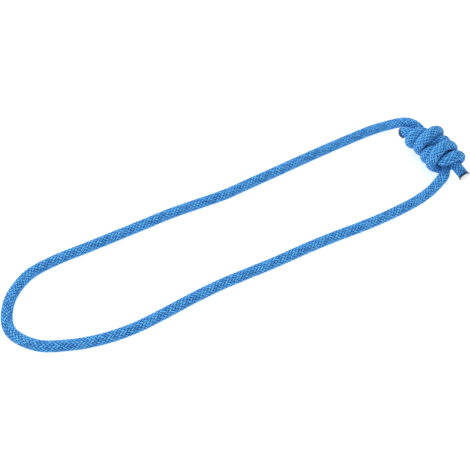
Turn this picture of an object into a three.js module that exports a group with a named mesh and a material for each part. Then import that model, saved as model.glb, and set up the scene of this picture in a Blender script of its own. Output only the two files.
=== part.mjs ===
// A closed sling of dynamic climbing rope: one length of blue kernmantle rope that lies flat as a
// long loop, its two ends tied together with a double fisherman's bend.
// Millimetres, +Z up. The rope lies on z = 0 with its long way along X and the knot at the +X end.
import * as THREE from "three";

// Rope
const ropeDiameter = 10;
const sheathWall = 1.1;
const strandCount = 6;
const tracerDiameter = 0.9;
const layClearance = 0.35; // between the strands of the core, and from them to the sheath
const jointGap = 0.3; // between two lengths of sheath that meet face to face
const restFlatDepth = ropeDiameter / 10; // the underside is pressed flat this deep where it lies

// Heat-sealed ends
const sealThickness = 1.8;
const sealLip = 0.6; // the melted rim stands proud of the rope by this much
const sealCornerDepth = 0.5;

// Knot, in rope diameters
const wrapRadius = 1.32; // centre line of a turn from the middle of the knot
const wrapPitch = 1.12; // from one turn to the next
const wrapSlant = 1.3; // how far a turn moves along the knot on its hidden side
const crossLift = 0.38; // how far the crossing turn stands out over the others
const squeeze = 0.2; // share of its width that the rope loses inside the turns
const flatten = 0.16; // share of its thickness that a tight turn loses
const widen = 0.06; // share of its width that a tight turn gains

// Place and direction of the knot
const knotMiddle = new THREE.Vector2(218.9, -9.2);
const knotHeading = -84; // degrees from +X, from the far end of the knot to its near end
const knotDip = 4; // degrees, near end down
const knotRoll = 20; // degrees, its crossings turned towards the loop

// Fineness
const sides = 8;
const strandSides = 4;
const tracerSides = 3;
const loopStep = 15;
const turnStep = 5;
const seatStep = ropeDiameter / 5;
const seatRounds = 300;
const leastGap = 0.4; // the rope stays this clear of itself everywhere
const seatAllowance = 0.15; // the turns are seated this much further apart than that

const ropeRadius = ropeDiameter / 2;
const boreRadius = ropeRadius - sheathWall;
const restHeight = ropeRadius - restFlatDepth; // of the centre line where the rope lies

// Six strands stand in a ring round the tracer yarn. Their size is what fits above the flat underside.
const ringShare = 1 / (2 * Math.sin(Math.PI / strandCount));
const coreRadius = restHeight - sheathWall - layClearance;
const strandDiameter = (coreRadius - layClearance * ringShare) / (ringShare + 0.5);
const strandRing = (strandDiameter + layClearance) * ringShare;

// ---------------------------------------------------------------- route, points chosen by eye
// Along the floor: x, y, and the centre line's height in rope diameters.
const lies = restHeight / ropeDiameter;
const farStanding = [
  [213.5, 37.4, 1.6],
  [206.4, 42.3, 1.05],
  [197.9, 47, 0.7],
  [182, 50.1, 0.45],
];
const freeLoop = [
  [163.2, 50.4],
  [126.7, 49.9],
  [97.9, 49],
  [70.1, 48],
  [41.3, 47],
  [12.5, 46.1],
  [-16.3, 48],
  [-45.1, 49.9],
  [-73.9, 49.9],
  [-102.7, 50.1],
  [-131.5, 50.3],
  [-160.3, 50.7],
  [-188.4, 46.3],
  [-210.8, 28.6],
  [-218.6, 2.1],
  [-202.8, -21.6],
  [-176.8, -34.8],
  [-149, -42.6],
  [-121.2, -45.5],
  [-92.4, -44.4],
  [-63.4, -42.2],
  [-34.6, -41.3],
  [-5.8, -42.2],
  [23, -43.2],
  [51.8, -43.2],
  [80.6, -44.2],
  [109.4, -46.1],
  [137.3, -47],
  [166.1, -46.1],
].map(([x, y]) => [x, y, lies]);
const nearStanding = [
  [183.5, -44.8, 0.5],
  [199, -42.1, 0.9],
  [207.2, -38.8, 1.3],
];

// In the knot, in rope diameters: along its length from the far end to the near end, across to the
// right, and out towards the side with the crossings.
const farEntry = [
  [-3.6, 0.4, -0.25],
  [-2.7, 0.45, -0.45],
];
const nearEntry = [[2.45, -0.45, -0.5]];
const insideRun = [
  [1.9, -0.2, -0.55],
  [1.2, 0, -0.52],
  [0.6, 0.2, -0.42],
  [0, 0.42, -0.2],
  [-0.6, 0.52, 0.05],
  [-1.1, 0.6, 0.28],
];

// Each half comes up from inside and starts its first turn in its own way, both given as on the far
// half. The near half's first turn starts on top, beside its crossing turn.
const farHalf = {
  rise: [
    [-1.45, 0.72, 0.55],
    [-1.65, 0.66, 0.9],
    [-1.85, 0.35, 1.2],
  ],
  startLift: [-0.03, 0], // out from the other turns, at the first turn's first two points
  cross: 0.9, // from the middle of the knot to the crossing turn
  crossLead: 0, // how far towards the middle the crossing turn comes up
};
const nearHalf = {
  rise: [
    [-1.62, 1.08, 0.45],
    [-1.92, 1.2, 0.97],
    [-2.1, 0.66, 1.4],
  ],
  startLift: [0.08, 0.05],
  cross: 0.56,
  crossLead: 0.3,
};
const farTail = [
  [-2.2, -0.58, 0.02],
  [-2.75, -0.66, 0.09],
  [-3.3, -0.88, 0.02],
  [-3.65, -1.28, -0.36],
];
const nearTail = [
  [2.2, 0.54, 0],
  [2.75, 0.48, -0.22],
  [3.35, 0.46, -0.48],
  [3.92, 0.4, -0.48],
];

// A point on a turn: place along the knot, radius, and degrees round it from the crossings' side.
function onTurn(along, radius, degrees) {
  const angle = THREE.MathUtils.degToRad(degrees);
  return [along, -radius * Math.sin(angle), radius * Math.cos(angle)];
}

// The hidden half of a turn, from the left edge of the knot to the right edge.
function hiddenHalf(leftEdge) {
  const shares = [0, 0.12, 0.33, 0.5, 0.67, 0.88, 1];
  return shares.map((share, i) => onTurn(leftEdge + wrapSlant * share, wrapRadius, 90 + 30 * i));
}

// One end's way through the knot, given as on the far half: along inside it, out at the far end, twice
// round everything, and back inside under its own crossing turn.
function doubleOverhand({ rise, startLift, cross, crossLead }) {
  const outerLeft = -outerTurn;
  const innerLeft = outerLeft + wrapPitch;
  const outerRight = outerLeft + wrapSlant;
  const innerRight = innerLeft + wrapSlant;
  const crossing = wrapRadius + crossLift;
  return [
    ...insideRun,
    ...rise,
    onTurn(outerLeft + 0.48, wrapRadius + startLift[0], 15),
    onTurn(outerLeft + 0.32, wrapRadius + startLift[1], 40),
    onTurn(outerLeft + 0.12, wrapRadius, 65),
    ...hiddenHalf(outerLeft),
    onTurn(outerRight + 0.05 + crossLead, wrapRadius + 0.03, 300),
    onTurn(-cross - 0.05, wrapRadius + 0.12, 330),
    onTurn(-cross, crossing - 0.1, 360),
    onTurn(-cross, crossing, 390),
    onTurn((innerLeft - cross) / 2, wrapRadius + 0.22, 420),
    ...hiddenHalf(innerLeft),
    onTurn(innerRight - 0.02, wrapRadius, 300),
    onTurn(innerRight - 0.12, wrapRadius - 0.04, 330),
    onTurn(innerRight - 0.32, wrapRadius - 0.15, 360),
    onTurn(innerRight - 0.6, 1, 382),
    onTurn(innerRight - 0.9, 0.8, 402),
    [-1.2, -0.55, 0.35],
    [-1.65, -0.52, 0.12],
  ];
}

// The other end is tied the same way, half a turn round the axis through the crossings' side.
const halfTurn = ([along, across, out]) => [-along, -across, out];

// ---------------------------------------------------------------- the knot's own axes
const outerTurn = 1.5 * wrapPitch + wrapSlant / 2; // from the knot's middle, in rope diameters
const knotHeight =
  ropeDiameter *
  (wrapRadius + (1 - flatten) / 2 + outerTurn * Math.sin(THREE.MathUtils.degToRad(Math.abs(knotDip))));
const knotOrigin = new THREE.Vector3(knotMiddle.x, knotMiddle.y, knotHeight);
const heading = THREE.MathUtils.degToRad(knotHeading);
const dip = THREE.MathUtils.degToRad(knotDip);
const alongAxis = new THREE.Vector3(
  Math.cos(dip) * Math.cos(heading),
  Math.cos(dip) * Math.sin(heading),
  -Math.sin(dip),
);
const rightAxis = new THREE.Vector3(-Math.sin(heading), Math.cos(heading), 0).applyAxisAngle(
  alongAxis,
  THREE.MathUtils.degToRad(knotRoll),
);
const outAxis = new THREE.Vector3().crossVectors(alongAxis, rightAxis);

function fromKnot([along, across, out]) {
  return new THREE.Vector3()
    .addScaledVector(alongAxis, along)
    .addScaledVector(rightAxis, across)
    .addScaledVector(outAxis, out)
    .multiplyScalar(ropeDiameter)
    .add(knotOrigin);
}

const onFloor = ([x, y, height]) => new THREE.Vector3(x, y, height * ropeDiameter);

// ---------------------------------------------------------------- how the knot presses the rope
// 0 outside the knot and 1 well inside the turns, or on a turn.
function pressure(point) {
  const offset = point.clone().sub(knotOrigin);
  const along = Math.abs(offset.dot(alongAxis)) / ropeDiameter;
  const radial = offset.addScaledVector(alongAxis, -offset.dot(alongAxis));
  const radius = radial.length() / ropeDiameter;
  const ramp = THREE.MathUtils.smoothstep;
  return {
    radial: radial.normalize(),
    inside: (1 - ramp(radius, 0.75, 1.15)) * (1 - ramp(along, 2, 2.8)),
    turned: ramp(radius, 1, 1.3) * (1 - ramp(radius, 2.2, 3)) * (1 - ramp(along, 2.6, 3.2)),
  };
}

// The section's width towards a direction, as a share of the free rope's.
function sectionShare(press, direction) {
  const radialPart = direction.dot(press.radial) ** 2;
  const thin = 1 - flatten * press.turned;
  const wide = 1 + widen * press.turned;
  return (1 - squeeze * press.inside) / Math.sqrt(radialPart / thin ** 2 + (1 - radialPart) / wide ** 2);
}

// ---------------------------------------------------------------- the line of the rope
// Even steps along a line of points, its ends kept.
function evenly(points, count) {
  const at = [0];
  for (let i = 1; i < points.length; i++) at.push(at[i - 1] + points[i].distanceTo(points[i - 1]));
  const total = at[at.length - 1];
  const out = [];
  let i = 1;
  for (let k = 0; k < count; k++) {
    const want = (total * k) / (count - 1);
    while (i < points.length - 1 && at[i] < want) i++;
    const share = (want - at[i - 1]) / (at[i] - at[i - 1]);
    out.push(points[i - 1].clone().lerp(points[i], share));
  }
  return out;
}

const lineLength = (points) =>
  points.reduce((sum, point, i) => sum + (i ? point.distanceTo(points[i - 1]) : 0), 0);

function smoothLine(chosen) {
  const curve = new THREE.CatmullRomCurve3(chosen, false, "centripetal");
  const dense = curve.getPoints(8 * (chosen.length - 1));
  return evenly(dense, Math.round(lineLength(dense) / seatStep) + 1);
}

// Seats the turns on each other: stiffness smooths the line, and where two lengths of rope come
// closer than the gap, each gives way by half. The line's last points and its floor part stay.
function seatTurns(runs) {
  const kept = 4;
  const along = Math.round((1.6 * ropeDiameter) / seatStep); // neighbours along the rope never push
  const home = runs.map((run) => run.map((point) => point.clone()));
  const wantedGap = leastGap + seatAllowance;
  for (let round = 0; round < seatRounds; round++) {
    runs = runs.map((run, r) => {
      const bend = run.map((point, i) =>
        i === 0 || i === run.length - 1
          ? new THREE.Vector3()
          : run[i - 1].clone().add(run[i + 1]).multiplyScalar(0.5).sub(point),
      );
      return run.map((point, i) => {
        if (i === 0 || i === run.length - 1) return point.clone();
        const unbend = bend[i - 1].clone().add(bend[i + 1]).multiplyScalar(0.5).sub(bend[i]);
        return point
          .clone()
          .addScaledVector(bend[i], 0.1)
          .addScaledVector(unbend, -0.4)
          .addScaledVector(home[r][i].clone().sub(point), 0.005);
      });
    });
    for (let pass = 0; pass < 2; pass++) pushApart(runs, along, wantedGap);
    runs = runs.map((run, r) => {
      const last = run.length - 1;
      const held = run.map((point, i) => (i < kept || i > last - 3 ? home[r][i].clone() : point));
      return evenly(held, run.length);
    });
  }
  return runs;
}

function pushApart(runs, along, wantedGap) {
  const all = runs.flatMap((run, r) => run.map((point, i) => ({ point, r, i, press: pressure(point) })));
  const moves = all.map(() => ({ move: new THREE.Vector3(), weight: 0 }));
  const reach = 1.4 * ropeDiameter;
  for (let a = 0; a < all.length; a++) {
    for (let b = a + 1; b < all.length; b++) {
      if (all[a].r === all[b].r && all[b].i - all[a].i <= along) continue;
      const between = all[a].point.clone().sub(all[b].point);
      const distance = between.length();
      if (distance >= reach) continue;
      between.divideScalar(distance);
      const shares = sectionShare(all[a].press, between) + sectionShare(all[b].press, between);
      const overlap = ropeRadius * shares + wantedGap - distance;
      if (overlap <= 0) continue;
      moves[a].move.addScaledVector(between, overlap ** 2);
      moves[b].move.addScaledVector(between, -(overlap ** 2));
      moves[a].weight += overlap;
      moves[b].weight += overlap;
    }
  }
  all.forEach(({ point }, k) => {
    if (moves[k].weight > 0) point.addScaledVector(moves[k].move, 0.5 / moves[k].weight);
  });
}

const nearEnd = [...farEntry, ...doubleOverhand(nearHalf).map(halfTurn), ...nearTail].map(fromKnot);
const farEnd = [...nearEntry, ...doubleOverhand(farHalf), ...farTail].map(fromKnot);
const line = smoothLine([
  ...nearEnd.reverse(),
  ...farStanding.map(onFloor),
  ...freeLoop.map(onFloor),
  ...nearStanding.map(onFloor),
  ...farEnd,
]);

// The two runs that the knot holds begin where the free loop leaves the floor.
const nearestTo = (points, place) =>
  points.reduce((best, point, i) => (point.distanceTo(place) < points[best].distanceTo(place) ? i : best), 0);
const nearRunEnd = nearestTo(line, onFloor(freeLoop[0]));
const farRunStart = nearestTo(line, onFloor(freeLoop[freeLoop.length - 1]));
const [nearRun, farRun] = seatTurns([line.slice(0, nearRunEnd + 1).reverse(), line.slice(farRunStart)]);
const ropeLine = [...nearRun.reverse(), ...line.slice(nearRunEnd + 1, farRunStart), ...farRun];

// ---------------------------------------------------------------- stations along the rope
// Places along the line where sections stand: close together in the knot, wide apart on the floor.
const ropeLength = lineLength(ropeLine);
const inKnot = (point) => point.distanceTo(knotOrigin) < 3.6 * ropeDiameter;

function lineAt(distance) {
  let rest = distance;
  for (let i = 1; i < ropeLine.length; i++) {
    const step = ropeLine[i].distanceTo(ropeLine[i - 1]);
    if (rest <= step || i === ropeLine.length - 1) {
      return {
        point: ropeLine[i - 1].clone().lerp(ropeLine[i], rest / step),
        index: i - 1 + rest / step,
      };
    }
    rest -= step;
  }
}

function tangentAt(distance) {
  const reach = seatStep / 2;
  const before = lineAt(Math.max(distance - reach, 0)).point;
  const after = lineAt(Math.min(distance + reach, ropeLength)).point;
  return after.sub(before).normalize();
}

// The loop's sheath begins and ends just outside the knot; these are distances along the rope.
let knotExit = ropeLength / 2;
let knotReturn = ropeLength / 2;
while (!inKnot(lineAt(knotExit).point)) knotExit -= turnStep;
while (!inKnot(lineAt(knotReturn).point)) knotReturn += turnStep;

function spread(from, to, step) {
  const count = Math.max(1, Math.round((to - from) / step));
  return Array.from({ length: count + 1 }, (_, i) => from + ((to - from) * i) / count);
}

const coreStart = sealThickness + jointGap;
const coreEnd = ropeLength - coreStart;
const splitHalf = jointGap / 2;
const nearPlaces = spread(coreStart, knotExit - splitHalf, turnStep);
const loopPlaces = spread(knotExit + splitHalf, knotReturn - splitHalf, loopStep);
const farPlaces = spread(knotReturn + splitHalf, coreEnd, turnStep);

// Sections are carried along the rope without twist, both ways from the middle of the loop, where
// the section's upright is +Z.
const places = [...nearPlaces, ...loopPlaces, ...farPlaces];
const stations = places.map((distance) => {
  const { point } = lineAt(distance);
  return { point, tangent: tangentAt(distance), press: pressure(point) };
});
const middle = nearPlaces.length + Math.floor(loopPlaces.length / 2);
stations[middle].upright = new THREE.Vector3(0, 0, 1);
const carry = (from, to) => {
  const tangent = stations[to].tangent;
  const upright = stations[from].upright.clone();
  stations[to].upright = upright.addScaledVector(tangent, -upright.dot(tangent)).normalize();
};
for (let i = middle + 1; i < stations.length; i++) carry(i - 1, i);
for (let i = middle - 1; i >= 0; i--) carry(i + 1, i);
for (const station of stations) {
  station.sideways = new THREE.Vector3().crossVectors(station.upright, station.tangent);
}
const nearStations = stations.slice(0, nearPlaces.length);
const loopStations = stations.slice(nearPlaces.length, nearPlaces.length + loopPlaces.length);
const farStations = stations.slice(nearPlaces.length + loopPlaces.length);

// A point of a section, from its own sideways and upright coordinates. floorHeight is the height
// that the pressed underside keeps.
function sectionPoint(station, sideways, upright, floorHeight) {
  const radius = Math.hypot(sideways, upright);
  const offset = new THREE.Vector3()
    .addScaledVector(station.sideways, sideways)
    .addScaledVector(station.upright, upright);
  if (radius > 0) offset.multiplyScalar(sectionShare(station.press, offset.clone().divideScalar(radius)));
  const point = offset.add(station.point);
  point.z = Math.max(point.z, floorHeight);
  return point;
}

function circle(count, radius, turned = 0.5) {
  return Array.from({ length: count }, (_, i) => {
    const angle = (2 * Math.PI * (i + turned)) / count;
    return [radius * Math.cos(angle), radius * Math.sin(angle)];
  });
}

// ---------------------------------------------------------------- meshes
// Rings of equal count are joined in order; a hollow length has its bore's rings as well.
function meshOfRings(rings, boreRings) {
  const count = rings[0].length;
  const positions = [];
  const triangle = (a, b, c) => [a, b, c].forEach((point) => positions.push(point.x, point.y, point.z));
  const quad = (a, b, c, d) => {
    triangle(a, b, c);
    triangle(a, c, d);
  };
  const skin = (all, outward) => {
    for (let r = 0; r + 1 < all.length; r++) {
      for (let i = 0; i < count; i++) {
        const j = (i + 1) % count;
        if (outward) quad(all[r][i], all[r][j], all[r + 1][j], all[r + 1][i]);
        else quad(all[r][j], all[r][i], all[r + 1][i], all[r + 1][j]);
      }
    }
  };
  skin(rings, true);
  if (boreRings) {
    skin(boreRings, false);
    const last = rings.length - 1;
    for (let i = 0; i < count; i++) {
      const j = (i + 1) % count;
      quad(rings[0][j], rings[0][i], boreRings[0][i], boreRings[0][j]);
      quad(rings[last][i], rings[last][j], boreRings[last][j], boreRings[last][i]);
    }
  } else {
    const first = rings[0];
    const end = rings[rings.length - 1];
    for (let i = 1; i + 1 < count; i++) {
      triangle(first[0], first[i + 1], first[i]);
      triangle(end[0], end[i], end[i + 1]);
    }
  }
  const geometry = new THREE.BufferGeometry();
  geometry.setAttribute("position", new THREE.Float32BufferAttribute(positions, 3));
  geometry.computeVertexNormals();
  return geometry;
}

function sheathGeometry(along) {
  const ringOf = (radius, floorHeight) => (station) =>
    circle(sides, radius).map(([x, y]) => sectionPoint(station, x, y, floorHeight));
  return meshOfRings(along.map(ringOf(ropeRadius, 0)), along.map(ringOf(boreRadius, sheathWall)));
}

// A strand keeps its place in the section all along the rope.
function strandGeometry(sideways, upright, diameter, strandSideCount) {
  const rings = stations.map((station) => {
    const share = (1 - squeeze * station.press.inside) * (1 - flatten * station.press.turned);
    const middlePoint = sectionPoint(station, sideways, upright, sheathWall);
    return circle(strandSideCount, (share * diameter) / 2).map(([x, y]) =>
      middlePoint.clone().addScaledVector(station.sideways, x).addScaledVector(station.upright, y),
    );
  });
  return meshOfRings(rings);
}

// The melted end: a thin button with a soft rim, standing on the cut end of the rope.
function sealGeometry(distance, station, outwards) {
  const face = lineAt(distance).point;
  const tangent = station.tangent.clone().multiplyScalar(outwards);
  const count = 2 * sides;
  const outline = [
    [ropeRadius, sealThickness],
    [ropeRadius + sealLip, sealThickness / 2],
    [ropeRadius + sealLip, sealCornerDepth],
    [ropeRadius + sealLip - sealCornerDepth, 0],
  ];
  const rings = outline.map(([radius, depth]) =>
    circle(count, radius).map(([x, y]) =>
      face
        .clone()
        .addScaledVector(tangent, -depth)
        .addScaledVector(station.sideways, x * outwards)
        .addScaledVector(station.upright, y),
    ),
  );
  return meshOfRings(rings);
}

const sling = new THREE.Group();

function addPiece(name, geometry, material) {
  const mesh = new THREE.Mesh(geometry, material);
  mesh.name = name;
  sling.add(mesh);
}

const sheathMaterial = new THREE.MeshStandardMaterial({ color: 0x2f74c0, roughness: 0.75, metalness: 0 });
const coreMaterial = new THREE.MeshStandardMaterial({ color: 0xeeece4, roughness: 0.8, metalness: 0 });
const tracerMaterial = new THREE.MeshStandardMaterial({ color: 0xd8b23a, roughness: 0.7, metalness: 0 });
const sealMaterial = new THREE.MeshStandardMaterial({ color: 0xd9dcde, roughness: 0.45, metalness: 0 });

addPiece("loop_sheath", sheathGeometry(loopStations), sheathMaterial);
addPiece("near_turns_sheath", sheathGeometry(nearStations), sheathMaterial);
addPiece("far_turns_sheath", sheathGeometry(farStations), sheathMaterial);
circle(strandCount, strandRing, 0).forEach(([x, y], i) => {
  addPiece("core_strand_" + (i + 1), strandGeometry(x, y, strandDiameter, strandSides), coreMaterial);
});
addPiece("tracer_yarn", strandGeometry(0, 0, tracerDiameter, tracerSides), tracerMaterial);
addPiece("near_end_seal", sealGeometry(0, stations[0], -1), sealMaterial);
addPiece("far_end_seal", sealGeometry(ropeLength, stations[stations.length - 1], 1), sealMaterial);

// The origin is under the middle of the box that holds the sling.
const box = new THREE.Box3().setFromObject(sling);
const centre = box.getCenter(new THREE.Vector3());
sling.position.set(-centre.x, -centre.y, 0);

// ---------------------------------------------------------------- the rope's least gap to itself
// Measured between the outer points of sections that lie further apart along the rope than one turn
// of its own bend.
function leastSelfGap() {
  const outline = stations.map((station) =>
    circle(2 * sides, ropeRadius).map(([x, y]) => sectionPoint(station, x, y, 0)),
  );
  const apart = 1.6 * ropeDiameter;
  let least = Infinity;
  for (let a = 0; a < stations.length; a++) {
    for (let b = a + 1; b < stations.length; b++) {
      if (places[b] - places[a] < apart) continue;
      if (stations[a].point.distanceTo(stations[b].point) > 2 * ropeDiameter) continue;
      for (const p of outline[a]) for (const q of outline[b]) least = Math.min(least, p.distanceTo(q));
    }
  }
  return least;
}

const gap = leastSelfGap();
console.log("rope " + ropeLength.toFixed(0) + " mm long, least gap to itself " + gap.toFixed(2) + " mm");
console.log("box centre " + centre.x.toFixed(2) + ", " + centre.y.toFixed(2));

export default sling;
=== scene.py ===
import math

import bmesh
import bpy
import numpy as np
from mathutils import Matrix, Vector


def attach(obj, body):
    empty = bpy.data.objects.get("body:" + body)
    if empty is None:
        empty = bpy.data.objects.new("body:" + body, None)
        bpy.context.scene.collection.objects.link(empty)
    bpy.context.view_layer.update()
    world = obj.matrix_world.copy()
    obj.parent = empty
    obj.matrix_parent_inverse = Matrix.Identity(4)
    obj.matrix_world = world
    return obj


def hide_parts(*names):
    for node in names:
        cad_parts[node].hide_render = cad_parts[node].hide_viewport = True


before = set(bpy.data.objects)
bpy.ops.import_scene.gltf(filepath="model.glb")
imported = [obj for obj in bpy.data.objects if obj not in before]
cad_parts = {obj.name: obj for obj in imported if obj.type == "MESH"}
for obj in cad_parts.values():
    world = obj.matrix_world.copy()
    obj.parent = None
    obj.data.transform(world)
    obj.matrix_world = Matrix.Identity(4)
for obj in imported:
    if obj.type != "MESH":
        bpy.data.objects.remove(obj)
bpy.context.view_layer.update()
scene = bpy.context.scene
fullTurn = 2 * math.pi

# Metres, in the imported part's own frame: +Z up, the knot at the +X end.
view = {
    "place": (-0.16406, -0.30918, 0.55565),
    "aim": (-0.00751, -0.00193, 0.0038),
    "lens": 52.85,  # mm
    "sensor": 36,  # mm
}


def aimAt(thing, aim):
    thing.rotation_euler = (Vector(aim) - thing.location).to_track_quat("-Z", "Y").to_euler()


def makeCamera():
    data = bpy.data.cameras.new("camera")
    data.lens = view["lens"]
    data.sensor_width = view["sensor"]
    camera = bpy.data.objects.new("camera", data)
    camera.location = view["place"]
    aimAt(camera, view["aim"])
    scene.collection.objects.link(camera)
    scene.camera = camera


makeCamera()
print("camera placed")

# The rope as a whole. The route is the CAD part's own, in metres.
rope = {
    "diameter": 0.010,
    "length": 1.462,
    "restFlat": 0.1,  # share of the diameter that is pressed flat where it lies
    "centring": (-0.007517, -0.001931, 0),  # puts the origin under the middle of the sling
    "chosenSteps": 8,  # short steps between two chosen points
    "seatedSteps": 4,  # and between two points of the seated line
    "step": 0.001,  # between the stations that its pieces follow
}
radius = rope["diameter"] / 2
restHeight = radius - rope["restFlat"] * rope["diameter"]

# In rope diameters, shares and degrees.
knot = {
    "wrapRadius": 1.32,  # from the middle of the knot to the middle of a turn
    "wrapPitch": 1.12,  # from one turn to the next
    "wrapSlant": 1.3,  # how far a turn moves along on the hidden side
    "slantShares": (0, 0.12, 0.33, 0.5, 0.67, 0.88, 1),  # of that, at every 30 degrees
    "crossLift": 0.38,  # of the crossing turn, over the others
    "squeeze": 0.2,  # how much thinner the rope is inside the turns
    "flatten": 0.16,  # and on a turn, towards the middle of the knot
    "widen": 0.06,  # how much wider a turn is across that
    "middle": (0.2189, -0.0092),  # on the floor, in metres
    "heading": -84,  # of the knot's length, from +X
    "dip": 4,  # of its length, below level
    "roll": 20,  # about its length
}

# Points chosen along the rope. The free loop lies on the floor, and its two ends rise to the knot.
farStanding = [
    (0.2135, 0.0374, 0.016), (0.2064, 0.0423, 0.0105), (0.1979, 0.047, 0.007),
    (0.182, 0.0501, 0.0045),
]
freeLoop = [
    (0.1632, 0.0504), (0.1267, 0.0499), (0.0979, 0.049), (0.0701, 0.048), (0.0413, 0.047),
    (0.0125, 0.0461), (-0.0163, 0.048), (-0.0451, 0.0499), (-0.0739, 0.0499), (-0.1027, 0.0501),
    (-0.1315, 0.0503), (-0.1603, 0.0507), (-0.1884, 0.0463), (-0.2108, 0.0286), (-0.2186, 0.0021),
    (-0.2028, -0.0216), (-0.1768, -0.0348), (-0.149, -0.0426), (-0.1212, -0.0455),
    (-0.0924, -0.0444), (-0.0634, -0.0422), (-0.0346, -0.0413), (-0.0058, -0.0422),
    (0.023, -0.0432), (0.0518, -0.0432), (0.0806, -0.0442), (0.1094, -0.0461), (0.1373, -0.047),
    (0.1661, -0.0461),
]
nearStanding = [(0.1835, -0.0448, 0.005), (0.199, -0.0421, 0.009), (0.2072, -0.0388, 0.013)]

# In the knot, in rope diameters: along it, across to the right, and out to the crossings' side.
farEntry = [(-3.6, 0.4, -0.25), (-2.7, 0.45, -0.45)]
nearEntry = [(2.45, -0.45, -0.5)]
insideRun = [
    (1.9, -0.2, -0.55), (1.2, 0, -0.52), (0.6, 0.2, -0.42), (0, 0.42, -0.2), (-0.6, 0.52, 0.05),
    (-1.1, 0.6, 0.28),
]
# Each half comes up from inside and starts its first turn in its own way, given as on the far half.
farHalf = {
    "rise": [(-1.45, 0.72, 0.55), (-1.65, 0.66, 0.9), (-1.85, 0.35, 1.2)],
    "startLift": (-0.03, 0),  # out from the other turns, at the first turn's first two points
    "cross": 0.9,  # from the middle of the knot to the crossing turn
    "crossLead": 0,  # how far towards the middle the crossing turn comes up
}
nearHalf = {
    "rise": [(-1.62, 1.08, 0.45), (-1.92, 1.2, 0.97), (-2.1, 0.66, 1.4)],
    "startLift": (0.08, 0.05),
    "cross": 0.56,
    "crossLead": 0.3,
}
farTail = [(-2.2, -0.58, 0.02), (-2.75, -0.66, 0.09), (-3.3, -0.88, 0.02), (-3.65, -1.28, -0.36)]
nearTail = [(2.2, 0.54, 0), (2.75, 0.48, -0.22), (3.35, 0.46, -0.48), (3.92, 0.4, -0.48)]


def onTurn(along, turnRadius, degrees):
    angle = math.radians(degrees)
    return (along, -turnRadius * math.sin(angle), turnRadius * math.cos(angle))


# Half a turn round the back of the knot, from its left side to its right
def hiddenHalf(leftEdge):
    return [
        onTurn(leftEdge + knot["wrapSlant"] * share, knot["wrapRadius"], 90 + 30 * i)
        for i, share in enumerate(knot["slantShares"])]


outerTurn = 1.5 * knot["wrapPitch"] + knot["wrapSlant"] / 2


# One end's way through the knot, given as on the far half: along inside it, out at the far end,
# twice round everything, and back inside under its own crossing turn.
def doubleOverhand(half):
    wrap = knot["wrapRadius"]
    outerLeft = -outerTurn
    innerLeft = outerLeft + knot["wrapPitch"]
    outerRight = outerLeft + knot["wrapSlant"]
    innerRight = innerLeft + knot["wrapSlant"]
    crossing = wrap + knot["crossLift"]
    cross = half["cross"]
    return [
        *insideRun,
        *half["rise"],
        onTurn(outerLeft + 0.48, wrap + half["startLift"][0], 15),
        onTurn(outerLeft + 0.32, wrap + half["startLift"][1], 40),
        onTurn(outerLeft + 0.12, wrap, 65),
        *hiddenHalf(outerLeft),
        onTurn(outerRight + 0.05 + half["crossLead"], wrap + 0.03, 300),
        onTurn(-cross - 0.05, wrap + 0.12, 330),
        onTurn(-cross, crossing - 0.1, 360),
        onTurn(-cross, crossing, 390),
        onTurn((innerLeft - cross) / 2, wrap + 0.22, 420),
        *hiddenHalf(innerLeft),
        onTurn(innerRight - 0.02, wrap, 300),
        onTurn(innerRight - 0.12, wrap - 0.04, 330),
        onTurn(innerRight - 0.32, wrap - 0.15, 360),
        onTurn(innerRight - 0.6, 1, 382),
        onTurn(innerRight - 0.9, 0.8, 402),
        (-1.2, -0.55, 0.35),
        (-1.65, -0.52, 0.12),
    ]


def turnedRound(points):
    return [(-along, -across, out) for along, across, out in points]


def turnAbout(vector, axis, degrees):
    angle = math.radians(degrees)
    return (vector * math.cos(angle) + np.cross(axis, vector) * math.sin(angle)
            + axis * (axis @ vector) * (1 - math.cos(angle)))


# The knot's own place and axes. Its lowest turn touches the floor.
heading, dip = math.radians(knot["heading"]), math.radians(knot["dip"])
knotHeight = rope["diameter"] * (
    knot["wrapRadius"] + (1 - knot["flatten"]) / 2 + outerTurn * math.sin(abs(dip)))
knotOrigin = np.array([*knot["middle"], knotHeight])
alongAxis = np.array([
    math.cos(dip) * math.cos(heading), math.cos(dip) * math.sin(heading), -math.sin(dip)])
levelAcross = np.array([-math.sin(heading), math.cos(heading), 0])
rightAxis = turnAbout(levelAcross, alongAxis, knot["roll"])
outAxis = np.cross(alongAxis, rightAxis)


def fromKnot(points):
    axes = np.array([alongAxis, rightAxis, outAxis])
    return np.array(points) @ axes * rope["diameter"] + knotOrigin


# Smoothly from 0 at the low value to 1 at the high one
def ramp(values, low, high):
    share = np.clip((values - low) / (high - low), 0, 1)
    return share * share * (3 - 2 * share)


# Where the knot presses the rope, in rope diameters out from the knot's long axis and along it. Over
# each pair the press rises from nothing to full, or falls from full to nothing.
pressReach = {
    "insideOut": (0.75, 1.15),
    "insideAlong": (2, 2.8),
    "turnFrom": (1, 1.3),
    "turnTo": (2.2, 3),
    "turnAlong": (2.6, 3.2),
}


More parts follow.
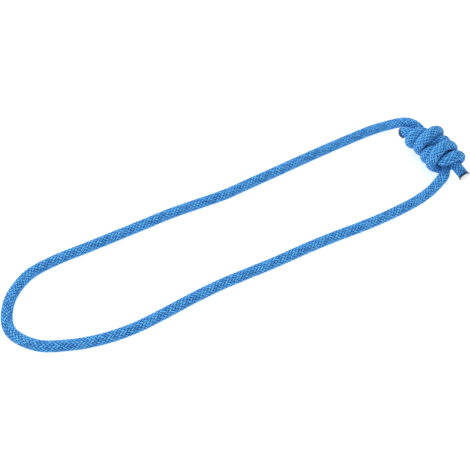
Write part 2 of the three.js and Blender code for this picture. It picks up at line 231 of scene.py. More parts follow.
# How the knot presses the rope: towards its axis inside the turns, and flatter on a turn.
def pressOf(points):
    offset = points - knotOrigin
    along = offset @ alongAxis
    radial = offset - along[:, None] * alongAxis
    distance = np.linalg.norm(radial, axis=1)
    across, along = distance / rope["diameter"], np.abs(along) / rope["diameter"]
    inside = 1 - ramp(across, *pressReach["insideOut"])
    inside = inside * (1 - ramp(along, *pressReach["insideAlong"]))
    turned = ramp(across, *pressReach["turnFrom"]) * (1 - ramp(across, *pressReach["turnTo"]))
    turned = turned * (1 - ramp(along, *pressReach["turnAlong"]))
    tight = 1 - knot["squeeze"] * inside
    return {
        "way": radial / np.maximum(distance, 1e-9)[:, None],
        "thin": tight * (1 - knot["flatten"] * turned),
        "wide": tight * (1 + knot["widen"] * turned),
    }


# How wide the pressed rope is in the given directions, as a share of its round width
def widthShare(press, at, direction):
    radialPart = (direction * press["way"][at]).sum(1) ** 2
    thin, wide = press["thin"][at], press["wide"][at]
    return 1 / np.sqrt(radialPart / thin ** 2 + (1 - radialPart) / wide ** 2)


def distancesAlong(points):
    return np.concatenate([[0], np.cumsum(np.linalg.norm(np.diff(points, axis=0), axis=1))])


def evenly(points, count):
    at = distancesAlong(points)
    wanted = np.linspace(0, at[-1], count)
    return np.stack([np.interp(wanted, at, points[:, k]) for k in range(3)], axis=1)


# A centripetal Catmull-Rom line, with so many short steps in each span.
def smoothLine(chosen, perSpan):
    chosen = np.asarray(chosen, float)
    held = np.concatenate([[2 * chosen[0] - chosen[1]], chosen, [2 * chosen[-1] - chosen[-2]]])
    p0, p1, p2, p3 = held[:-3], held[1:-2], held[2:-1], held[3:]
    spans = ((p0, p1), (p1, p2), (p2, p3))
    d0, d1, d2 = (np.sqrt(np.linalg.norm(b - a, axis=1))[:, None] for a, b in spans)
    t1 = ((p1 - p0) / d0 - (p2 - p0) / (d0 + d1) + (p2 - p1) / d1) * d1
    t2 = ((p2 - p1) / d1 - (p3 - p1) / (d1 + d2) + (p3 - p2) / d2) * d1
    steps = (np.arange(perSpan) / perSpan)[None, :, None]
    cubic = 2 * p1 - 2 * p2 + t1 + t2
    square = -3 * p1 + 3 * p2 - 2 * t1 - t2
    line = p1[:, None] + steps * (t1[:, None] + steps * (square[:, None] + steps * cubic[:, None]))
    return np.concatenate([line.reshape(-1, 3), chosen[-1:]])


seat = {
    "step": rope["diameter"] / 5,
    "rounds": 300,
    "pushes": 2,  # in each round
    "gap": 0.00055,  # the rope's surfaces are seated this far apart
    "neighbours": 1.6,  # rope diameters along the rope within which nothing pushes
    "reach": 1.4,  # rope diameters beyond which nothing pushes
    "heldFirst": 4,  # points that stay at a run's two ends
    "heldLast": 3,
    "bend": 0.1,  # pull towards a straight line
    "unbend": 0.4,  # pull towards an even bend
    "home": 0.005,  # pull back to the chosen line
}


# Where two lengths of rope come closer than the gap, each gives way by half.
def pushApart(points, firstOf, secondOf):
    press = pressOf(points)
    between = points[firstOf] - points[secondOf]
    distance = np.linalg.norm(between, axis=1)
    near = distance < seat["reach"] * rope["diameter"]
    a, b, distance = firstOf[near], secondOf[near], distance[near]
    between = between[near] / distance[:, None]
    shares = widthShare(press, a, between) + widthShare(press, b, between)
    overlap = radius * shares + seat["gap"] - distance
    touching = overlap > 0
    a, b, between, overlap = a[touching], b[touching], between[touching], overlap[touching]
    move, weight = np.zeros_like(points), np.zeros(len(points))
    push = between * overlap[:, None] ** 2
    np.add.at(move, a, push)
    np.add.at(move, b, -push)
    np.add.at(weight, a, overlap)
    np.add.at(weight, b, overlap)
    pushed = weight > 0
    points[pushed] += move[pushed] * (0.5 / weight[pushed])[:, None]


# One small step of a run towards a smoother one that stays near where it started
def eased(run, start):
    bend = np.zeros_like(run)
    bend[1:-1] = (run[:-2] + run[2:]) / 2 - run[1:-1]
    unbend = np.zeros_like(run)
    unbend[1:-1] = (bend[:-2] + bend[2:]) / 2 - bend[1:-1]
    pull = start - run
    pull[[0, -1]] = 0
    return run + seat["bend"] * bend - seat["unbend"] * unbend + seat["home"] * pull


# Seats the turns on each other: stiffness smooths each run, and its ends stay in place.
def seatTurns(runs):
    home = [run.copy() for run in runs]
    counts = [len(run) for run in runs]
    runOf = np.repeat(np.arange(len(runs)), counts)
    firstOf, secondOf = np.triu_indices(sum(counts), 1)
    along = round(seat["neighbours"] * rope["diameter"] / seat["step"])
    apart = (runOf[firstOf] != runOf[secondOf]) | (secondOf - firstOf > along)
    firstOf, secondOf = firstOf[apart], secondOf[apart]
    for _ in range(seat["rounds"]):
        points = np.concatenate([eased(run, start) for run, start in zip(runs, home)])
        for _ in range(seat["pushes"]):
            pushApart(points, firstOf, secondOf)
        runs = np.split(points, np.cumsum(counts)[:-1])
        for k, start in enumerate(home):
            runs[k][:seat["heldFirst"]] = start[:seat["heldFirst"]]
            runs[k][-seat["heldLast"]:] = start[-seat["heldLast"]:]
            runs[k] = evenly(runs[k], counts[k])
    return runs


def ropeRoute():
    floor = [(x, y, restHeight) for x, y in freeLoop]
    chosen = np.concatenate([
        fromKnot([*farEntry, *turnedRound(doubleOverhand(nearHalf)), *nearTail])[::-1],
        farStanding,
        floor,
        nearStanding,
        fromKnot([*nearEntry, *doubleOverhand(farHalf), *farTail]),
    ])
    dense = smoothLine(chosen, rope["chosenSteps"])
    line = evenly(dense, round(distancesAlong(dense)[-1] / seat["step"]) + 1)
    leaves = np.linalg.norm(line - floor[0], axis=1).argmin()
    returns = np.linalg.norm(line - floor[-1], axis=1).argmin()
    nearRun, farRun = seatTurns([line[:leaves + 1][::-1], line[returns:]])
    line = np.concatenate([nearRun[::-1], line[leaves + 1:returns], farRun])
    line = smoothLine(line, rope["seatedSteps"]) + rope["centring"]
    return evenly(line, round(distancesAlong(line)[-1] / rope["step"]) + 1)


route = ropeRoute()
routeLength = distancesAlong(route)[-1]
tangents = np.gradient(route, axis=0)
tangents /= np.linalg.norm(tangents, axis=1)[:, None]


# The section's upright is carried without twist, both ways from the middle of the loop.
def carryUprights():
    uprights = np.zeros_like(route)
    middle = len(route) // 2
    uprights[middle] = (0, 0, 1)
    for i in [*range(middle + 1, len(route)), *range(middle - 1, -1, -1)]:
        before = uprights[i - 1 if i > middle else i + 1]
        carried = before - tangents[i] * (before @ tangents[i])
        uprights[i] = carried / np.linalg.norm(carried)
    return uprights


uprights = carryUprights()
sideways = np.cross(uprights, tangents)
press = pressOf(route - rope["centring"])
print("rope routed:", round(routeLength, 4), "m")


def newObject(name, mesh):
    made = bpy.data.objects.new(name, mesh)
    scene.collection.objects.link(made)
    return made


# The line that every piece of the rope follows, with its section at each station.
def makeRopePath():
    mesh = bpy.data.meshes.new("ropePath")
    mesh.from_pydata(route.tolist(), [(i, i + 1) for i in range(len(route) - 1)], [])
    shares = np.stack([press["thin"], press["wide"], np.zeros(len(route))], axis=1)
    for name, values in (("sideways", sideways), ("upright", uprights),
                         ("pressWay", press["way"]), ("pressShares", shares)):
        attribute = mesh.attributes.new(name, "FLOAT_VECTOR", "POINT")
        attribute.data.foreach_set("vector", values.astype(np.float32).ravel())
    return newObject("ropePath", mesh)


ropePath = makeRopePath()


# Short ways to write nodes. A value given as a socket is linked, and any other is set.
def addNode(tree, kind, given=None, **settings):
    node = tree.nodes.new(kind)
    for key, value in settings.items():
        setattr(node, key, value)
    for key, value in (given or {}).items():
        if isinstance(value, bpy.types.NodeSocket):
            tree.links.new(value, node.inputs[key])
        else:
            node.inputs[key].default_value = value
    return node


def output(tree, kind, given=None, **settings):
    return addNode(tree, kind, given, **settings).outputs[0]


def number(tree, operation, *values):
    return output(tree, "ShaderNodeMath", dict(enumerate(values)), operation=operation)


def plus(tree, a, b):
    return number(tree, "ADD", a, b)


def minus(tree, a, b):
    return number(tree, "SUBTRACT", a, b)


def times(tree, a, b):
    return number(tree, "MULTIPLY", a, b)


def divided(tree, a, b):
    return number(tree, "DIVIDE", a, b)


def vector(tree, operation, *values):
    node = addNode(tree, "ShaderNodeVectorMath", dict(enumerate(values)), operation=operation)
    return node.outputs["Value" if operation == "DOT_PRODUCT" else "Vector"]


def scaled(tree, direction, amount):
    given = {0: direction, "Scale": amount}
    return addNode(tree, "ShaderNodeVectorMath", given, operation="SCALE").outputs["Vector"]


def split(tree, place):
    return addNode(tree, "ShaderNodeSeparateXYZ", {0: place}).outputs


def joined(tree, x, y=0.0, z=0.0):
    return output(tree, "ShaderNodeCombineXYZ", {"X": x, "Y": y, "Z": z})


# A place so far along +X, at an angle and a distance round it
def roundTheMiddle(tree, along, angle, distance):
    return joined(
        tree, along,
        times(tree, number(tree, "COSINE", angle), distance),
        times(tree, number(tree, "SINE", angle), distance))


def ownPlace(tree):
    return output(tree, "GeometryNodeInputPosition")


def placed(tree, geometry, place):
    return output(tree, "GeometryNodeSetPosition", {"Geometry": geometry, "Position": place})


def stored(tree, geometry, name, value):
    given = {"Geometry": geometry, "Name": name, "Value": value}
    return output(tree, "GeometryNodeStoreNamedAttribute", given, data_type="FLOAT", domain="POINT")


def heldAs(tree, name, kind):
    node = addNode(tree, "GeometryNodeInputNamedAttribute", {"Name": name}, data_type=kind)
    return node.outputs["Attribute"]


# A round profile, one across unless its radius is given
def ring(tree, sides, ringRadius=0.5):
    given = {"Resolution": sides, "Radius": ringRadius}
    return output(tree, "GeometryNodeCurvePrimitiveCircle", given)


def tube(tree, curve, profile):
    given = {"Curve": curve, "Profile Curve": profile, "Fill Caps": True}
    return output(tree, "GeometryNodeCurveToMesh", given)


def newTree(name, inputs):
    tree = bpy.data.node_groups.new(name, "GeometryNodeTree")
    tree.interface.new_socket("Geometry", in_out="OUTPUT", socket_type="NodeSocketGeometry")
    for label, kind in inputs.items():
        tree.interface.new_socket(label, in_out="INPUT", socket_type="NodeSocket" + kind)
    given = tree.nodes.new("NodeGroupInput").outputs
    return tree, {label: given[label] for label in inputs}


def endTree(tree, geometry):
    tree.links.new(geometry, tree.nodes.new("NodeGroupOutput").inputs[0])


# Lays a straight rope's pieces, built along +X with the section in Y and Z, on the rope's path.
def makeLayOnRope():
    inputs = {"Straight": "Geometry", "Rope path": "Object", "Rope radius": "Float"}
    tree, given = newTree("layOnRope", inputs)
    info = addNode(tree, "GeometryNodeObjectInfo", {"Object": given["Rope path"]})
    curve = output(tree, "GeometryNodeMeshToCurve", {"Mesh": info.outputs["Geometry"]})
    straight = split(tree, ownPlace(tree))

    def sampled(name):
        held = heldAs(tree, name, "FLOAT_VECTOR")
        return addNode(
            tree, "GeometryNodeSampleCurve", {"Curves": curve, "Value": held, "Length": straight["X"]},
            data_type="FLOAT_VECTOR", mode="LENGTH", use_all_curves=False)

    side, up, way, shares = map(sampled, ("sideways", "upright", "pressWay", "pressShares"))
    centre = side.outputs["Position"]
    offset = vector(tree, "ADD", scaled(tree, side.outputs["Value"], straight["Y"]),
                    scaled(tree, up.outputs["Value"], straight["Z"]))
    direction = vector(tree, "NORMALIZE", offset)
    towards = vector(tree, "DOT_PRODUCT", direction, way.outputs["Value"])
    radialPart = times(tree, towards, towards)
    share = split(tree, shares.outputs["Value"])
    thin = times(tree, share["X"], share["X"])
    wide = times(tree, share["Y"], share["Y"])
    width = number(tree, "INVERSE_SQRT", plus(
        tree, divided(tree, radialPart, thin), divided(tree, minus(tree, 1.0, radialPart), wide)))
    # Where the rope would reach below the floor, the whole section gives way towards its middle.
    down = times(tree, split(tree, direction)["Z"], -1.0)
    down = number(tree, "MAXIMUM", down, 1e-5)  # never 0, because it divides the height
    reach = times(tree, times(tree, given["Rope radius"], width), down)
    room = number(tree, "MINIMUM", divided(tree, split(tree, centre)["Z"], reach), 1.0)
    laid = vector(tree, "ADD", centre, scaled(tree, offset, times(tree, width, room)))
    endTree(tree, placed(tree, given["Straight"], laid))
    return tree


layOnRope = makeLayOnRope()


# The last steps of every piece's tree
def finishTree(tree, straight, given):
    inputs = {
        "Straight": straight, "Rope path": given["Rope path"], "Rope radius": given["Rope radius"]}
    laid = output(tree, "GeometryNodeGroup", inputs, node_tree=layOnRope)
    smooth = output(tree, "GeometryNodeSetShadeSmooth", {"Geometry": laid})
    real = output(tree, "GeometryNodeRealizeInstances", {"Geometry": smooth})
    finish = {"Geometry": real, "Material": given["Material"]}
    endTree(tree, output(tree, "GeometryNodeSetMaterial", finish))


# Grows a plain mesh piece from a tree. Its inputs are set before it is first evaluated.
def growPiece(name, tree, values):
    seed = newObject(name + "Seed", bpy.data.meshes.new(name + "Seed"))
    grow = seed.modifiers.new("grow", "NODES")
    grow.node_group = tree
    for item in tree.interface.items_tree:
        if item.in_out == "INPUT" and item.name in values:
            grow[item.identifier] = values[item.name]
    graph = bpy.context.evaluated_depsgraph_get()
    mesh = bpy.data.meshes.new_from_object(
        seed.evaluated_get(graph), preserve_all_data_layers=True, depsgraph=graph)
    bpy.data.objects.remove(seed)
    mesh.name = name
    print("grew", name, len(mesh.polygons), "faces")
    return newObject(name, mesh)


# What every piece's tree is given
lineInputs = {
    "Rope path": "Object", "Rope radius": "Float", "Start": "Float", "End": "Float",
    "Stations": "Int", "Material": "Material",
}


# A piece starts and ends the same way inside the rope's two cuts.
def lineValues(start, stations, material, ropeRadius=radius):
    return {
        "Rope path": ropePath,
        "Rope radius": ropeRadius,
        "Start": start,
        "End": routeLength - start,
        "Stations": stations,
        "Material": material,
    }


def straightLine(tree, given):
    ends = {label: joined(tree, given[label]) for label in ("Start", "End")}
    line = output(tree, "GeometryNodeCurvePrimitiveLine", ends)
    return output(tree, "GeometryNodeResampleCurve", {"Curve": line, "Count": given["Stations"]})


def newMaterial(name):
    material = bpy.data.materials.new(name)
    material.use_nodes = True
    tree = material.node_tree
    return material, tree, tree.nodes["Principled BSDF"]


def setInputs(shader, given):
    for key, value in given.items():
        shader.inputs[key].default_value = value


def inObject(tree):
    return tree.nodes.new("ShaderNodeTexCoord").outputs["Object"]


def onMesh(tree, name):
    return addNode(tree, "ShaderNodeAttribute", attribute_name=name).outputs["Fac"]


def colourRamp(tree, factor, stops):
    node = addNode(tree, "ShaderNodeValToRGB", {"Fac": factor})
    while len(node.color_ramp.elements) < len(stops):
        node.color_ramp.elements.new(0.5)  # anywhere, as its place is set next
    for element, (place, colour) in zip(node.color_ramp.elements, stops):
        element.position = place
        element.color = (*colour, 1)
    return node.outputs["Color"]


def noise(tree, place, scale, detail):
    given = {"Vector": place, "Scale": scale, "Detail": detail}
    return addNode(tree, "ShaderNodeTexNoise", given).outputs["Fac"]


def remapped(tree, value, source, wanted):
    given = {"Value": value, "From Min": source[0], "From Max": source[1],
             "To Min": wanted[0], "To Max": wanted[1]}
    return addNode(tree, "ShaderNodeMapRange", given).outputs["Result"]


def bumped(tree, shader, height, strength, distance):
    given = {"Height": height, "Strength": strength, "Distance": distance}
    tree.links.new(output(tree, "ShaderNodeBump", given), shader.inputs["Normal"])


# The sheath's inner wall, seen only between its yarns, painted dark blue as the shade in the gaps between
# them
shadeLinerValues = {
    "radius": 0.00355,
    "sides": 24,
    "endGap": 0.0005,
    "stationStep": 0.0015,
    # Painted shade: the dark blues seen in the gaps between the yarns
    "blues": [(0.35, (0.006, 0.03, 0.1)), (0.7, (0.014, 0.06, 0.19))],
    "fibres": (1500, 3),  # the noise's scale and detail
    "bump": (0.5, 0.0001),  # its strength and height
    "roughness": 0.85,
}


def linerShadeMaterial():
    material, tree, shader = newMaterial("shadeLiner")
    fibres = noise(tree, inObject(tree), *shadeLinerValues["fibres"])
    # Painted shade, a little uneven with the fibres' noise
    tree.links.new(colourRamp(tree, fibres, shadeLinerValues["blues"]), shader.inputs["Base Color"])
    bumped(tree, shader, fibres, *shadeLinerValues["bump"])
    setInputs(shader, {"Roughness": shadeLinerValues["roughness"]})
    return material


def makeShadeLiner():
    tree, given = newTree("shadeLiner", {**lineInputs, "Radius": "Float", "Sides": "Int"})
    profile = ring(tree, given["Sides"], given["Radius"])
    finishTree(tree, tube(tree, straightLine(tree, given), profile), given)
    stations = round(routeLength / shadeLinerValues["stationStep"])
    return growPiece("sheath_liner", tree, {
        **lineValues(shadeLinerValues["endGap"], stations, linerShadeMaterial()),
        "Radius": shadeLinerValues["radius"],
        "Sides": shadeLinerValues["sides"],
    })


shadeLiner = makeShadeLiner()

yarnLook = {
    # Across the sheath's thickness, from its inside (0) to the yarns' tops (1): painted shade deep between
    # the yarns, their own blue, and a painted highlight on their tops
    "blues": [(0.56, (0.0015, 0.018, 0.10)), (0.8, (0.0305, 0.204, 0.61)), (0.99, (0.125, 0.51, 0.97))],
    "uneven": 0.16,  # how far yarns and fibres differ on that scale
    "fibres": (2600, 2),
    "singed": (0.012, 0.022, 0.04, 1),
    "singeFull": 0.0005,  # the yarn is all browned this near to a cut end
    "singeReach": 0.0022,  # and not at all this far back, or up to twice as far where it wanders
    "singeNoise": (900, 2),
    "filaments": 7,  # fine ridges round a yarn
    "filamentTurn": 0.0052,  # length in which a filament goes once round its yarn
    "filamentHeight": 0.5,  # beside the fibres' height
    "bump": (0.6, 0.00006),
    "roughness": (0.5, 0.72),
    "shine": {
        "Specular IOR Level": 0.25,
        "Sheen Weight": 0.06,
        "Sheen Roughness": 0.45,
        "Sheen Tint": (0.6, 0.8, 1, 1),
    },
}


def sheathMaterial():
    material, tree, shader = newMaterial("sheathYarn")
    place, along = inObject(tree), onMesh(tree, "yarnAlong")
    fine = noise(tree, place, *yarnLook["fibres"])
    # Painted shade down each yarn's sides and a painted highlight on its top, set by its height in the
    # sheath; yarns and fibres also differ a little in tone
    uneven = minus(tree, plus(tree, onMesh(tree, "yarnShade"), fine), 1.0)
    height = plus(tree, onMesh(tree, "crown"), times(tree, uneven, yarnLook["uneven"]))
    blue = colourRamp(tree, height, yarnLook["blues"])
    # Browned towards the cut ends, with an uneven edge
    cutEnd = number(tree, "MINIMUM", along, minus(tree, routeLength, along))
    wander = times(tree, noise(tree, place, *yarnLook["singeNoise"]), yarnLook["singeReach"])
    reach = (yarnLook["singeFull"], yarnLook["singeReach"])
    singe = remapped(tree, minus(tree, cutEnd, wander), reach, (1.0, 0.0))
    browned = addNode(
        tree, "ShaderNodeMix", {"Factor": singe, "A": blue, "B": yarnLook["singed"]}, data_type="RGBA")
    tree.links.new(browned.outputs["Result"], shader.inputs["Base Color"])
    # Filaments wind round each yarn.
    turns = minus(tree, times(tree, onMesh(tree, "yarnAround"), yarnLook["filaments"]),
                  times(tree, along, yarnLook["filaments"] / yarnLook["filamentTurn"]))
    ridges = number(tree, "SINE", times(tree, turns, fullTurn))
    ridges = times(tree, ridges, yarnLook["filamentHeight"])
    bumped(tree, shader, plus(tree, ridges, fine), *yarnLook["bump"])
    rough = remapped(tree, fine, (0.0, 1.0), yarnLook["roughness"])
    tree.links.new(rough, shader.inputs["Roughness"])
    setInputs(shader, yarnLook["shine"])
    return material


braid = {
    "carriers": 16,  # each way round
    "ways": [("right", 1.0, 7), ("left", -1.0, 8)],  # name, way round and seed of the yarns' shades
    "pitch": 0.0568,  # length of rope in which a yarn goes once round it
    "crownRadius": 0.00521,  # of the yarns' tops, so that the rope's mean outline is 10 mm wide
    "yarnWidth": 0.00154,
    "yarnThickness": 0.00074,
    "lift": 0.00031,  # a yarn's middle rises and falls by this much
    "underWidth": 0.86,  # of a yarn that lies under the others, as a share
    "samples": 64,  # stations in one turn round the rope
    "profileSides": 8,
    "yarnsInPiece": 4,
    "endGap": 0.0009,  # the yarns end inside the melted ends
}


# How high a yarn rides, from 1 over the others to -1 under them, staying there and crossing between.
# Two columns over and two under make eight waves round a rope of sixteen yarns each way.
def rideOf(tree, given, angle):
    waves = times(tree, angle, divided(tree, given["Carriers"], 2.0))
    wave = number(tree, "COSINE", minus(tree, waves, math.pi / 4))
    wave = times(tree, wave, given["Way round"])
    cubed = times(tree, times(tree, wave, wave), wave)
    return minus(tree, times(tree, wave, 1.5), times(tree, cubed, 0.5))


# The yarns' middle lines. Unrolled, they lie over a plane, so that a profile stays level with it.
def unrolledYarns(tree, given):
    length = tree.nodes.new("GeometryNodeSplineParameter").outputs["Length"]
    length = plus(tree, length, given["Start"])
    line = stored(tree, straightLine(tree, given), "yarnAlong", length)
    copies = addNode(tree, "GeometryNodeDuplicateElements", {
        "Geometry": line, "Amount": given["Yarns"]}, domain="SPLINE")
    yarn = plus(tree, copies.outputs["Duplicate Index"], given["First yarn"])
    start = divided(tree, times(tree, yarn, fullTurn), given["Carriers"])
    turned = times(tree, divided(tree, length, given["Turn"]), fullTurn)
    angle = plus(tree, start, times(tree, turned, given["Way round"]))
    ride = rideOf(tree, given, angle)
    halfThick = times(tree, given["Yarn thickness"], 0.5)
    level = minus(tree, given["Rope radius"], plus(tree, given["Lift"], halfThick))
    distance = plus(tree, level, times(tree, ride, given["Lift"]))
    place = joined(tree, length, times(tree, angle, given["Rope radius"]), distance)
    yarns = placed(tree, copies.outputs["Geometry"], place)
    draw = {"Seed": given["Seed"], "ID": yarn}
    shade = addNode(tree, "FunctionNodeRandomValue", draw, data_type="FLOAT").outputs[1]
    yarns = stored(tree, yarns, "yarnShade", shade)
    over = times(tree, plus(tree, ride, 1.0), 0.5)
    widened = times(tree, over, minus(tree, 1.0, given["Under width"]))
    yarns = stored(tree, yarns, "fullness", plus(tree, given["Under width"], widened))
    yarns = output(tree, "GeometryNodeSetCurveNormal", {"Curve": yarns}, mode="Z_UP")
    fullness = heldAs(tree, "fullness", "FLOAT")
    return output(tree, "GeometryNodeSetCurveRadius", {"Curve": yarns, "Radius": fullness})


def yarnProfile(tree, given):
    around = tree.nodes.new("GeometryNodeSplineParameter").outputs["Factor"]
    profile = stored(tree, ring(tree, given["Profile sides"]), "yarnAround", around)
    shape = joined(tree, given["Yarn width"], given["Yarn thickness"])
    return placed(tree, profile, vector(tree, "MULTIPLY", ownPlace(tree), shape))


# Rolls the plane round the rope. What was each point's height over it is kept for the painted shade and
# highlight in the colour.
def rolledUp(tree, yarns, given):
    flat = split(tree, ownPlace(tree))
    wall = plus(tree, given["Yarn thickness"], times(tree, given["Lift"], 2.0))
    depth = divided(tree, minus(tree, given["Rope radius"], flat["Z"]), wall)
    yarns = stored(tree, yarns, "crown", minus(tree, 1.0, depth))
    angle = divided(tree, flat["Y"], given["Rope radius"])
    return placed(tree, yarns, roundTheMiddle(tree, flat["X"], angle, flat["Z"]))


# Yarns of a two-over-two braid, all going one way round the rope.
def makeBraidTree():
    tree, given = newTree("braidYarns", {
        **lineInputs, "First yarn": "Int", "Yarns": "Int", "Carriers": "Int", "Way round": "Float",
        "Turn": "Float", "Yarn width": "Float", "Yarn thickness": "Float", "Lift": "Float",
        "Under width": "Float", "Profile sides": "Int", "Seed": "Int"})
    yarns = tube(tree, unrolledYarns(tree, given), yarnProfile(tree, given))
    finishTree(tree, rolledUp(tree, yarns, given), given)
    return tree


def makeBraid():
    tree = makeBraidTree()
    start = braid["endGap"]
    covered = routeLength - start - start
    stations = round(covered * braid["samples"] / braid["pitch"])
    common = {
        **lineValues(start, stations + 1, sheathMaterial(), braid["crownRadius"]),
        "Yarns": braid["yarnsInPiece"],
        "Carriers": braid["carriers"],
        "Turn": covered * braid["samples"] / stations,
        "Yarn width": braid["yarnWidth"],
        "Yarn thickness": braid["yarnThickness"],
        "Lift": braid["lift"],
        "Under width": braid["underWidth"],
        "Profile sides": braid["profileSides"],
    }
    pieces = []
    for name, wayRound, seed in braid["ways"]:
        for first in range(0, braid["carriers"], braid["yarnsInPiece"]):
            part = first // braid["yarnsInPiece"] + 1
            pieces.append(growPiece(f"sheath_yarns_{name}_{part}", tree, {
                **common, "First yarn": first, "Way round": wayRound, "Seed": seed}))
    return pieces


yarnPieces = makeBraid()

core = {
    "strands": 6,
    # Keyed as the tree's inputs: out from the rope's middle, across, length of one twist, and plies
    "strand": {"Ring": 0.00205, "Diameter": 0.00179, "Twist": 0.014, "Plies": 3.0},
    "tracer": {"Ring": 0.0, "Diameter": 0.00085, "Twist": 0.009, "Plies": 2.0},
    "plyDepth": 0.12,  # share of the radius by which a ply stands out, and a groove lies in
    "profileSides": 12,
    "stationStep": 0.0012,
    "endGap": 0.0018,  # the core ends inside the melted ends
    "undyedShaded": ((0.5, 0.48, 0.42), (0.86, 0.85, 0.81)),  # undyed nylon: painted shade in its grooves, its own colour on its crests
    # The tracer's yellow, the same way: painted shade in its grooves, its own colour on its crests
    "markerShaded": ((0.42, 0.24, 0.02), (0.74, 0.5, 0.07)),
    "shades": (0.1, 0.7),  # where on the scale of shades those two lie
    "plyShade": 0.4,  # how much the painted shade in the plies' grooves tells on it, beside the fibres
    "fibres": (2200, 3),
    "bump": (0.5, 0.00008),
    "roughness": 0.7,
}


# One strand or yarn of the core: plies twisted about its own middle.
def makeStrandTree():
    tree, given = newTree("coreStrand", {
        **lineInputs, "Ring": "Float", "Angle": "Float", "Diameter": "Float", "Twist": "Float",
        "Plies": "Float", "Ply depth": "Float", "Profile sides": "Int"})
    along = split(tree, ownPlace(tree))["X"]
    place = roundTheMiddle(tree, along, given["Angle"], given["Ring"])
    line = placed(tree, straightLine(tree, given), place)
    line = output(tree, "GeometryNodeSetCurveNormal", {"Curve": line}, mode="Z_UP")
    tilt = times(tree, divided(tree, along, given["Twist"]), fullTurn)
    line = output(tree, "GeometryNodeSetCurveTilt", {"Curve": line, "Tilt": tilt})
    around = tree.nodes.new("GeometryNodeSplineParameter").outputs["Factor"]
    crests = number(tree, "COSINE", times(tree, times(tree, around, given["Plies"]), fullTurn))
    profile = stored(tree, ring(tree, given["Profile sides"]), "plyCrown", crests)
    raised = times(tree, heldAs(tree, "plyCrown", "FLOAT"), given["Ply depth"])
    size = times(tree, plus(tree, raised, 1.0), given["Diameter"])
    profile = placed(tree, profile, scaled(tree, ownPlace(tree), size))
    finishTree(tree, tube(tree, line, profile), given)
    return tree


def strandMaterial(name, colours):
    material, tree, shader = newMaterial(name)
    fibres = noise(tree, inObject(tree), *core["fibres"])
    # Painted shade in the plies' grooves, lighter on their crests, with fibres uneven in tone
    shade = plus(tree, times(tree, onMesh(tree, "plyCrown"), core["plyShade"]), fibres)
    colour = colourRamp(tree, shade, list(zip(core["shades"], colours)))
    tree.links.new(colour, shader.inputs["Base Color"])
    bumped(tree, shader, fibres, *core["bump"])
    setInputs(shader, {"Roughness": core["roughness"]})
    return material


def makeCore():
    tree = makeStrandTree()
    start = core["endGap"]
    stations = round((routeLength - start - start) / core["stationStep"])

    def grown(name, material, values, angle):
        return growPiece(name, tree, {
            **lineValues(start, stations, material), **values, "Angle": angle,
            "Ply depth": core["plyDepth"], "Profile sides": core["profileSides"]})

    undyedShaded = strandMaterial("coreStrand", core["undyedShaded"])
    markerShaded = strandMaterial("tracerYarn", core["markerShaded"])
    strands = [
        grown(f"twisted_strand_{i + 1}", undyedShaded, core["strand"], fullTurn * i / core["strands"])
        for i in range(core["strands"])]
    return strands, grown("twisted_tracer", markerShaded, core["tracer"], 0.0)


coreStrands, tracerYarn = makeCore()

melt = {
    # Radius and depth behind the cut in metres, from the collar's hidden edge to the face's middle
    "outline": [
        (0.0040, 0.0020), (0.0049, 0.00185), (0.00515, 0.0016), (0.0054, 0.00125), (0.0056, 0.0009),
        (0.00568, 0.0006), (0.0056, 0.00034), (0.0054, 0.00014), (0.0051, 0.00003),
        (0.0046, -0.00001), (0.0040, 0.00004), (0.0034, -0.00006), (0.0026, -0.00016),
        (0.0017, -0.00022), (0.0008, -0.00022),
    ],
    "perSpan": 4,  # short steps between two of those
    "around": 72,  # points in each ring
    "rimRadius": 0.00568,
    "rimWaves": [(2, 0.022, 0.6), (3, 0.016, 2.1), (5, 0.012, 4.0), (9, 0.007, 1.2)],  # count, share, turn
    "flare": (0.55, 0.95),  # the rim's waves grow between these shares of its radius
    "collarWaves": [(3, 0.00028, 0.9), (7, 0.00022, 2.7), (16, 0.00012, 0.0)],  # count, metres, turn
    "collarReach": (0.0009, 0.0018),  # the collar's waves grow between these depths
    "lobes": (6, 0.00011),  # low mounds on the face: count, metres
    "lobeRing": (0.5, 0.2),  # share of the rim's radius where they stand, and their spread
    "backShare": 1.3,  # the hidden cap's place on the scale of the colours below
    "clearOfFloor": 0.0001,
    # White where the core melted, with a thin singed rim, and dark blue where the sheath melted
    "colours": [
        (0.2, (0.74, 0.74, 0.72)), (0.54, (0.6, 0.62, 0.64)), (0.6, (0.10, 0.12, 0.16)),
        (0.67, (0.012, 0.016, 0.024)), (0.715, (0.012, 0.03, 0.06)), (0.75, (0.014, 0.11, 0.36))],
    "colourScale": 0.7,  # the rim's place among those colours
    "colourWander": 0.12,
    "cloud": (700, 3),
    "bump": (0.35, 0.00015),
    "roughness": 0.34,
}


def meltedMaterial():
    material, tree, shader = newMaterial("meltedNylon")
    cloud = noise(tree, inObject(tree), *melt["cloud"])
    wander = times(tree, minus(tree, cloud, 0.5), melt["colourWander"])
    reach = plus(tree, times(tree, onMesh(tree, "meltShare"), melt["colourScale"]), wander)
    tree.links.new(colourRamp(tree, reach, melt["colours"]), shader.inputs["Base Color"])
    bumped(tree, shader, cloud, *melt["bump"])
    setInputs(shader, {"Roughness": melt["roughness"]})
    return material


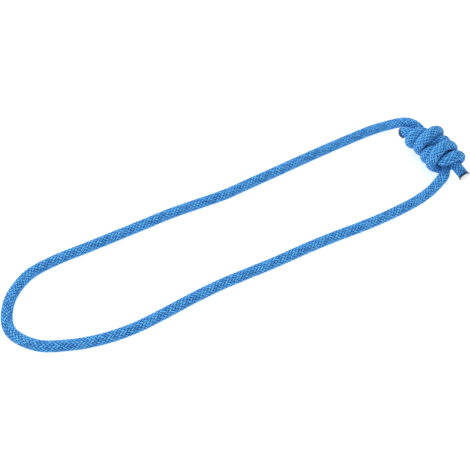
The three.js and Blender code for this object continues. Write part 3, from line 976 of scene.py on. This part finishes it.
# Rings of points from the collar's hidden edge to the face, then the middles of the face and of the
# hidden cap. A point's share of the rim's radius is counted on past 1 behind the rim.
def meltedPoints(station, outwards, turn):
    outline = smoothLine([(*corner, 0) for corner in melt["outline"]], melt["perSpan"])
    theta = np.linspace(0, fullTurn, melt["around"], endpoint=False)

    def waves(parts):
        return sum(size * np.sin(count * theta + phase + turn) for count, size, phase in parts)

    side, up, out = sideways[station], uprights[station], tangents[station] * outwards
    lobes, lobeHeight = melt["lobes"]
    lobeMiddle, lobeSpread = melt["lobeRing"]
    rim = outline[:, 0].argmax()
    points, shares = [], []
    for k, (ringRadius, depth, _) in enumerate(outline):
        share = ringRadius / melt["rimRadius"]
        wavy = ringRadius * (1 + ramp(np.array(share), *melt["flare"]) * waves(melt["rimWaves"]))
        if k > rim:
            mound = math.exp(-((share - lobeMiddle) / lobeSpread) ** 2)
            back = depth - lobeHeight * np.cos(lobes * theta + turn) * mound
        else:
            back = depth + waves(melt["collarWaves"]) * ramp(np.array(depth), *melt["collarReach"])
            share = 2 - share
        points.append(route[station] - np.outer(back, out) + np.outer(wavy * np.cos(theta), side)
                      + np.outer(wavy * np.sin(theta), up))
        shares.append(np.full(len(theta), share))
    points += [route[station] - out * melt["outline"][end][1] for end in (-1, 0)]
    shares += [[0], [melt["backShare"]]]
    points = np.vstack(points)
    points[:, 2] = np.maximum(points[:, 2], melt["clearOfFloor"])
    return points, np.concatenate(shares)


# Faces from ring to ring, and a fan on the last ring and on the first
def ringFaces(rings, count):
    pairs = [(i, (i + 1) % count) for i in range(count)]
    last, front, back = (rings - 1) * count, rings * count, rings * count + 1
    faces = [
        (k + i, k + j, k + count + j, k + count + i) for k in range(0, last, count) for i, j in pairs]
    faces += [(last + i, last + j, front) for i, j in pairs]
    return faces + [(j, i, back) for i, j in pairs]


# A melted end: a flared, uneven collar over the yarns' ends and a low domed face on the core.
def makeMeltedEnd(name, station, outwards, turn):
    points, shares = meltedPoints(station, outwards, turn)
    mesh = bpy.data.meshes.new(name)
    mesh.from_pydata(points.tolist(), [], ringFaces(len(points) // melt["around"], melt["around"]))
    attribute = mesh.attributes.new("meltShare", "FLOAT", "POINT")
    attribute.data.foreach_set("value", shares.astype(np.float32))
    shell = bmesh.new()
    shell.from_mesh(mesh)
    bmesh.ops.recalc_face_normals(shell, faces=shell.faces)
    shell.to_mesh(mesh)
    shell.free()
    mesh.shade_smooth()
    mesh.materials.append(meltedNylon)
    return newObject(name, mesh)


meltedNylon = meltedMaterial()
nearEnd = makeMeltedEnd("near_melted_end", 0, -1, 0.0)
farEnd = makeMeltedEnd("far_melted_end", -1, 1, 2.0)
print("core and melted ends made")

bpy.data.objects.remove(ropePath)

for slot, pieces in (("sheath", [shadeLiner, *yarnPieces]), ("core", coreStrands),
                     ("tracer", [tracerYarn]), ("seal", [nearEnd, farEnd])):
    for piece in pieces:
        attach(piece, "root")
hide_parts("loop_sheath", "near_turns_sheath", "far_turns_sheath")
for i, strand in enumerate(coreStrands):
    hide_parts(f"core_strand_{i + 1}")
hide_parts("tracer_yarn")
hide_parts("near_end_seal")
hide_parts("far_end_seal")
print("pieces attached to the root body")


studio = {
    "floorSize": 6,
    "floorColour": (0.93, 0.93, 0.93, 1),
    "floorRoughness": 0.9,
    "skyColour": (1, 1, 1, 1),
    "skyStrength": 0.85,
    "keyPlace": (-0.3, 0.85, 0.75),
    "keyAim": (0.1, 0, 0),
    "keySize": 0.5,
    "keyPower": 6,
    "washPlace": (0, 0, 2),
    "washStrength": 1.9,  # on the paper alone, so that it stays white round the rope
}


def makeFloor():
    half = studio["floorSize"] / 2
    corners = [(-half, -half, 0), (half, -half, 0), (half, half, 0), (-half, half, 0)]
    mesh = bpy.data.meshes.new("floor")
    mesh.from_pydata(corners, [], [(0, 1, 2, 3)])
    floor = newObject("floor", mesh)
    material, _, shader = newMaterial("floorPaper")
    setInputs(shader, {"Base Color": studio["floorColour"], "Roughness": studio["floorRoughness"]})
    mesh.materials.append(material)
    return floor


def makeSky():
    world = bpy.data.worlds.new("studio")
    world.use_nodes = True
    sky = world.node_tree.nodes["Background"]
    setInputs(sky, {"Strength": studio["skyStrength"], "Color": studio["skyColour"]})
    scene.world = world


# A light that only the given pieces receive
def addLight(name, kind, place, aim, receivers, **settings):
    data = bpy.data.lights.new(name, kind)
    for key, value in settings.items():
        setattr(data, key, value)
    lamp = bpy.data.objects.new(name, data)
    lamp.location = place
    aimAt(lamp, aim)
    lit = bpy.data.collections.new(name + "Receivers")
    for piece in receivers:
        lit.objects.link(piece)
    lamp.light_linking.receiver_collection = lit
    scene.collection.objects.link(lamp)


def makeStudio():
    floor = makeFloor()
    makeSky()
    dressed = [shadeLiner, *yarnPieces, *coreStrands, tracerYarn, nearEnd, farEnd]
    addLight("keyLight", "AREA", studio["keyPlace"], studio["keyAim"], dressed,
             size=studio["keySize"], energy=studio["keyPower"])
    addLight("paperWash", "SUN", studio["washPlace"], (0, 0, 0), [floor],
             energy=studio["washStrength"], use_shadow=False)


makeStudio()
scene.view_settings.view_transform = "Standard"
print("studio made")
